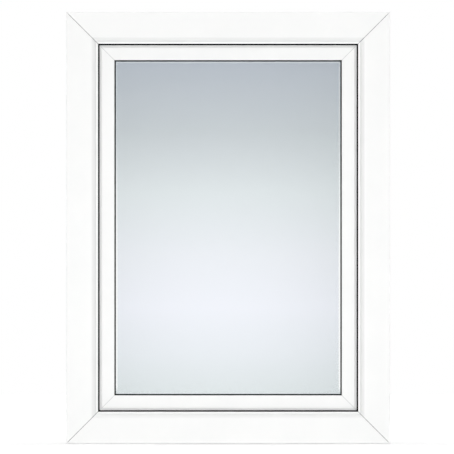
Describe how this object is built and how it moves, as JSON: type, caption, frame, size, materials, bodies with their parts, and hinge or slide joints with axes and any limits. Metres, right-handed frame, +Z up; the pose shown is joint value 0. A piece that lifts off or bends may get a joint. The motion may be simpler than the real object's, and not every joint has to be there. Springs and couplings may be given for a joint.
{
  "type": "pvc window",
  "caption": "White pvc casement window with mitred frame and sash, black seals, sealed clear glazing, indoor lever handle and pivot hinges.",
  "frame": {"origin": "on the underside of the sill, halfway along it and halfway through the frame's depth", "axes": "+X to the right seen from outdoors, +Y from outdoors to indoors, +Z up"},
  "size_m": [0.75, 0.1385, 1],
  "materials": {
    "profile": "satin white pvc",
    "bead": "satin white pvc",
    "seal": "black rubber seal",
    "glazing_seal": "dark rubber gasket",
    "glass": "clear float glass",
    "sealant": "black edge sealant",
    "spacer": "mill finish",
    "block": "moulded packer",
    "handle": "white powder coat",
    "hinge": "white powder coat",
    "pin": "zinc plated steel"
  },
  "bodies": {
    "root": {"bead_gasket_bottom": "glazing_seal", "bead_gasket_left": "glazing_seal", "bead_gasket_right": "glazing_seal", "bead_gasket_top": "glazing_seal", "edge_sealant": "sealant", "frame_head": "profile", "frame_left_jamb": "profile", "frame_right_jamb": "profile", "frame_seal_bottom": "seal", "frame_seal_left": "seal", "frame_seal_right": "seal", "frame_seal_top": "seal", "frame_sill": "profile", "glazing_bead_bottom": "bead", "glazing_bead_left": "bead", "glazing_bead_right": "bead", "glazing_bead_top": "bead", "handle_lever": "handle", "handle_rose": "handle", "inner_pane": "glass", "lower_hinge_band": "hinge", "lower_hinge_bracket": "hinge", "lower_hinge_pin": "pin", "outer_gasket_bottom": "glazing_seal", "outer_gasket_left": "glazing_seal", "outer_gasket_right": "glazing_seal", "outer_gasket_top": "glazing_seal", "outer_pane": "glass", "overlap_seal_bottom": "seal", "overlap_seal_left": "seal", "overlap_seal_right": "seal", "overlap_seal_top": "seal", "sash_bottom_rail": "profile", "sash_left_stile": "profile", "sash_right_stile": "profile", "sash_top_rail": "profile", "setting_blocks": "block", "spacer_frame": "spacer", "upper_hinge_band": "hinge", "upper_hinge_bracket": "hinge", "upper_hinge_pin": "pin"}
  },
  "joints": []
}
